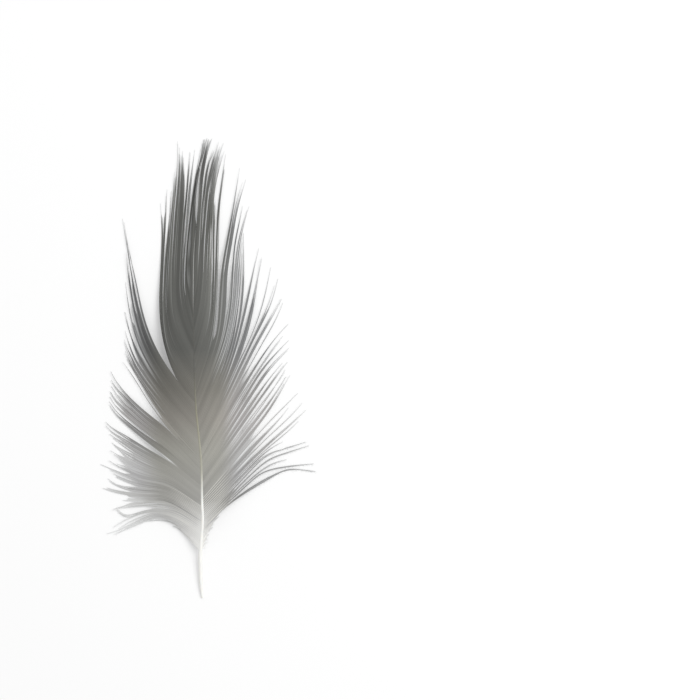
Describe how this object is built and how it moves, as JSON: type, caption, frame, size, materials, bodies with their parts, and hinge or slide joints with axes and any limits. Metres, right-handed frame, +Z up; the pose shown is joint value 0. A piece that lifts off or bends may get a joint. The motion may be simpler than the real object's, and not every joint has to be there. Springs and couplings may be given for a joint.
{
  "type": "heron feather",
  "caption": "Grey body feather with a pale quill, an arched shaft and loose locks of barbs, lying on a surface with its convex side up.",
  "frame": {"origin": "on the surface that the feather lies on, under the middle of the feather's outline", "axes": "+Y from the quill to the tip of the feather, +Z up from the surface, +X to the right seen from above"},
  "size_m": [0.0438, 0.092, 0.0037],
  "materials": {
    "shaft_horn": "satin",
    "dark_barbs": "matte",
    "grey_barbs": "matte",
    "pale_barbs": "matte",
    "down_barbs": "matte"
  },
  "bodies": {
    "root": {"shaft": "shaft_horn", "tuft_left": "dark_barbs", "tuft_right": "dark_barbs", "left_spire": "dark_barbs", "right_inner": "dark_barbs", "left_upper": "grey_barbs", "left_middle": "grey_barbs", "right_upper_fan": "grey_barbs", "right_middle_fan": "grey_barbs", "left_lower": "pale_barbs", "right_lower_fan": "pale_barbs", "left_down": "down_barbs", "right_down": "down_barbs"}
  },
  "joints": []
}
